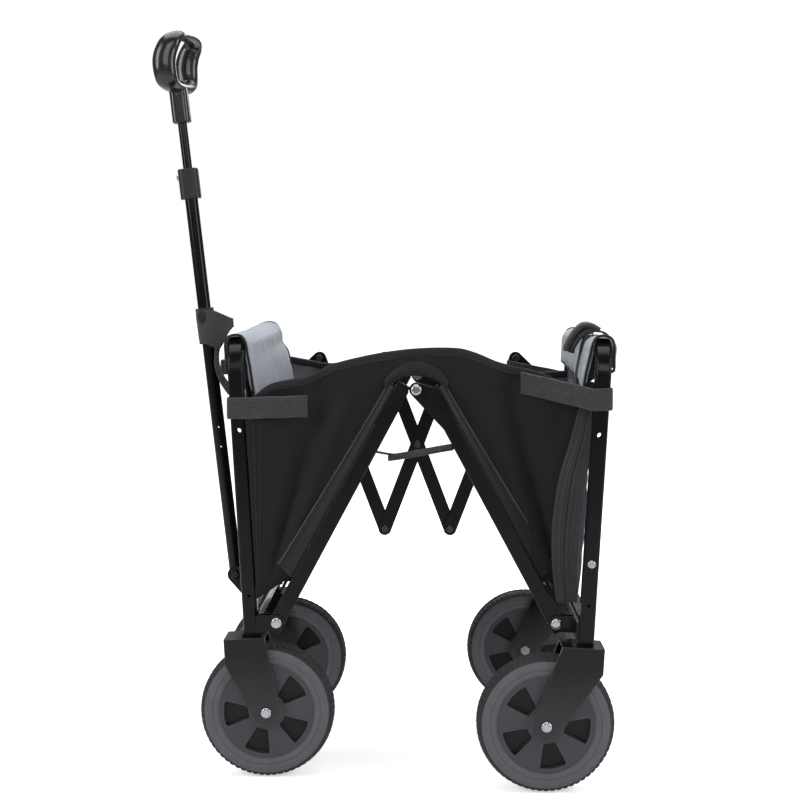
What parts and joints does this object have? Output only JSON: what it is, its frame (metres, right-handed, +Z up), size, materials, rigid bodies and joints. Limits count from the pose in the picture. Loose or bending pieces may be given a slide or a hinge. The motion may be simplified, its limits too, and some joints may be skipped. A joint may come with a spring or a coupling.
{
  "type": "folding camp wagon",
  "caption": "Folding camp wagon on swivelling front wheels, with a tubular frame that folds in the middle, a fabric basket and a telescoping pull handle, shown half folded.",
  "frame": {"origin": "On the ground, on the centre plane, at the middle of the whole length from the grip to the back of the rear wheels", "axes": "+X to the rear of the wagon, +Y to its far side, +Z up; the pull handle is at the -X end"},
  "size_m": [0.6086, 0.514, 1.0097],
  "materials": {
    "frame_paint": "gloss black powder coat",
    "arm_paint": "satin black powder coat",
    "bright_steel": "bright plated steel",
    "dark_steel": "dark plated steel",
    "fork_plastic": "glossy black, slightly worn",
    "rim_plastic": "moulded dark grey",
    "tyre_rubber": "dark grey solid rubber",
    "grip_plastic": "smooth black",
    "collar_plastic": "moulded black",
    "wall_fabric": "black woven polyester",
    "liner_fabric": "mid grey woven polyester",
    "pad_fabric": "grey padded polyester with black piping",
    "webbing": "dark ribbed webbing"
  },
  "bodies": {
    "rear_frame": {"rear_hoop": "frame_paint", "rear_crossbar": "frame_paint", "rear_arm_brackets": "frame_paint", "rear_frame_bolts": "bright_steel", "rear_forks": "fork_plastic", "rear_axle_bolts": "bright_steel", "rear_pad": "pad_fabric", "rear_end_wall": "liner_fabric"},
    "front_frame": {"front_hoop": "frame_paint", "front_crossbar": "frame_paint", "front_arm_brackets": "frame_paint", "front_frame_bolts": "bright_steel", "caster_sockets": "dark_steel", "handle_bracket": "frame_paint", "front_pad": "pad_fabric", "front_end_wall": "liner_fabric"},
    "rear_arm_near": {"rear_arm_near": "arm_paint", "hinge_plates_near": "arm_paint", "apex_bolt_near": "bright_steel", "rear_floor": "wall_fabric", "near_wall": "wall_fabric"},
    "front_arm_near": {"front_arm_near": "arm_paint", "hinge_tongue_near": "arm_paint", "front_floor": "wall_fabric"},
    "caster_near": {"caster_fork_near": "fork_plastic", "caster_bolts_near": "bright_steel"},
    "rear_wheel_near": {"rim_rear_near": "rim_plastic", "tyre_rear_near": "tyre_rubber"},
    "front_wheel_near": {"rim_front_near": "rim_plastic", "tyre_front_near": "tyre_rubber"},
    "rear_arm_far": {"rear_arm_far": "arm_paint", "hinge_plates_far": "arm_paint", "apex_bolt_far": "bright_steel", "far_wall": "wall_fabric"},
    "front_arm_far": {"front_arm_far": "arm_paint", "hinge_tongue_far": "arm_paint"},
    "caster_far": {"caster_fork_far": "fork_plastic", "caster_bolts_far": "bright_steel"},
    "rear_wheel_far": {"rim_rear_far": "rim_plastic", "tyre_rear_far": "tyre_rubber"},
    "front_wheel_far": {"rim_front_far": "rim_plastic", "tyre_front_far": "tyre_rubber"},
    "lattice_link_rear": {"lattice_link_rear": "arm_paint"},
    "lattice_inner_3": {"lattice_inner_bar_3": "arm_paint", "lattice_rivets_rear": "dark_steel"},
    "lattice_outer_3": {"lattice_outer_bar_3": "arm_paint"},
    "lattice_outer_2": {"lattice_outer_bar_2": "arm_paint", "lattice_rivets_middle": "dark_steel"},
    "lattice_inner_2": {"lattice_inner_bar_2": "arm_paint", "lattice_rivets_inner": "dark_steel"},
    "lattice_inner_1": {"lattice_inner_bar_1": "arm_paint"},
    "lattice_outer_1": {"lattice_outer_bar_1": "arm_paint", "lattice_rivets_front": "dark_steel"},
    "lattice_link_front": {"lattice_link_front": "arm_paint"},
    "handle_pole": {"handle_lower_tube": "frame_paint", "lock_collar": "collar_plastic"},
    "handle_slider": {"handle_upper_tube": "frame_paint", "neck_collar": "collar_plastic", "grip": "grip_plastic"},
    "lock_button": {"lock_button": "collar_plastic"}
  },
  "joints": [
    {"name": "fold", "type": "hinge", "parent": "rear_frame", "child": "rear_arm_near", "pos_m": [0.23066, -0.186, 0.21001], "axis": [0, -1, 0], "range_deg": [-22, 54], "deforming": ["near_wall", "far_wall"]},
    {"name": "near_middle_hinge", "type": "hinge", "parent": "rear_arm_near", "child": "front_arm_near", "pos_m": [0.0481, -0.186, 0.51494], "axis": [0, -1, 0], "range_deg": [-108.5, 44.5]},
    {"name": "front_foot_hinge", "type": "hinge", "parent": "front_arm_near", "child": "front_frame", "pos_m": [-0.13446, -0.186, 0.21001], "axis": [0, -1, 0], "range_deg": [-22.5, 54.5]},
    {"name": "far_rear_foot_hinge", "type": "hinge", "parent": "rear_frame", "child": "rear_arm_far", "pos_m": [0.23066, 0.186, 0.21001], "axis": [0, -1, 0], "range_deg": [-22.5, 54.5]},
    {"name": "far_middle_hinge", "type": "hinge", "parent": "rear_arm_far", "child": "front_arm_far", "pos_m": [0.0481, 0.186, 0.51494], "axis": [0, -1, 0], "range_deg": [-108.5, 44.5]},
    {"name": "lattice_rear_foot", "type": "hinge", "parent": "rear_frame", "child": "lattice_link_rear", "pos_m": [0.28117, 0.20975, 0.45958], "axis": [0, -1, 0], "range_deg": [-31.63, 76.91]},
    {"name": "lattice_top_4", "type": "hinge", "parent": "lattice_link_rear", "child": "lattice_inner_3", "pos_m": [0.19845, 0.20625, 0.53946], "axis": [0, -1, 0], "range_deg": [-103.15, 42.32]},
    {"name": "lattice_cross_3", "type": "hinge", "parent": "lattice_inner_3", "child": "lattice_outer_3", "pos_m": [0.14833, 0.20625, 0.40821], "axis": [0, -1, 0], "range_deg": [-21.88, 52.99]},
    {"name": "lattice_low_3", "type": "hinge", "parent": "lattice_inner_3", "child": "lattice_outer_2", "pos_m": [0.09822, 0.20625, 0.27695], "axis": [0, -1, 0], "range_deg": [-21.88, 52.99]},
    {"name": "lattice_cross_2", "type": "hinge", "parent": "lattice_outer_2", "child": "lattice_inner_2", "pos_m": [0.0481, 0.20625, 0.40821], "axis": [0, -1, 0], "range_deg": [-52.99, 21.88]},
    {"name": "lattice_top_2", "type": "hinge", "parent": "lattice_outer_2", "child": "lattice_inner_1", "pos_m": [-0.00202, 0.20625, 0.53946], "axis": [0, -1, 0], "range_deg": [-52.99, 21.88]},
    {"name": "lattice_cross_1", "type": "hinge", "parent": "lattice_inner_1", "child": "lattice_outer_1", "pos_m": [-0.05213, 0.20625, 0.40821], "axis": [0, -1, 0], "range_deg": [-21.88, 52.99]},
    {"name": "lattice_top_1", "type": "hinge", "parent": "lattice_outer_1", "child": "lattice_link_front", "pos_m": [-0.10225, 0.20625, 0.53946], "axis": [0, -1, 0], "range_deg": [-103.15, 42.32]},
    {"name": "handle_tilt", "type": "hinge", "parent": "front_frame", "child": "handle_pole", "pos_m": [-0.20886, 0, 0.24191], "axis": [0, -1, 0], "range_deg": [-3, 82]},
    {"name": "handle_slide", "type": "slide", "parent": "handle_pole", "child": "handle_slider", "axis": [-0.1115, 0, 0.9938], "range_m": [-0.055, 0.24]},
    {"name": "lock_press", "type": "slide", "parent": "handle_pole", "child": "lock_button", "axis": [0.9938, 0, 0.1115], "range_m": [0, 0.002], "stiffness_N_per_m": 400},
    {"name": "caster_swivel_near", "type": "hinge", "parent": "front_frame", "child": "caster_near", "pos_m": [-0.1699, -0.16, 0.19], "axis": [-0.0558, 0, 0.9984], "continuous": true},
    {"name": "caster_swivel_far", "type": "hinge", "parent": "front_frame", "child": "caster_far", "pos_m": [-0.1699, 0.16, 0.19], "axis": [-0.0558, 0, 0.9984], "continuous": true},
    {"name": "front_wheel_spin_near", "type": "hinge", "parent": "caster_near", "child": "front_wheel_near", "pos_m": [-0.14893, -0.16, 0.089], "axis": [0, 1, 0], "continuous": true},
    {"name": "front_wheel_spin_far", "type": "hinge", "parent": "caster_far", "child": "front_wheel_far", "pos_m": [-0.14893, 0.16, 0.089], "axis": [0, 1, 0], "continuous": true},
    {"name": "rear_wheel_spin_near", "type": "hinge", "parent": "rear_frame", "child": "rear_wheel_near", "pos_m": [0.21458, -0.225, 0.089], "axis": [0, 1, 0], "continuous": true},
    {"name": "rear_wheel_spin_far", "type": "hinge", "parent": "rear_frame", "child": "rear_wheel_far", "pos_m": [0.21458, 0.225, 0.089], "axis": [0, 1, 0], "continuous": true}
  ],
  "couplings": [
    {"joint": "near_middle_hinge", "follows": "fold", "ratio": -2},
    {"joint": "front_foot_hinge", "follows": "fold", "ratio": 1},
    {"joint": "far_rear_foot_hinge", "follows": "fold", "ratio": 1},
    {"joint": "far_middle_hinge", "follows": "fold", "ratio": -2},
    {"joint": "lattice_rear_foot", "follows": "fold", "ratio": 1.415},
    {"joint": "lattice_top_4", "follows": "fold", "ratio": -1.901},
    {"joint": "lattice_cross_3", "follows": "fold", "ratio": 0.972},
    {"joint": "lattice_low_3", "follows": "fold", "ratio": 0.972},
    {"joint": "lattice_cross_2", "follows": "fold", "ratio": -0.972},
    {"joint": "lattice_top_2", "follows": "fold", "ratio": -0.972},
    {"joint": "lattice_cross_1", "follows": "fold", "ratio": 0.972},
    {"joint": "lattice_top_1", "follows": "fold", "ratio": -1.901}
  ]
}
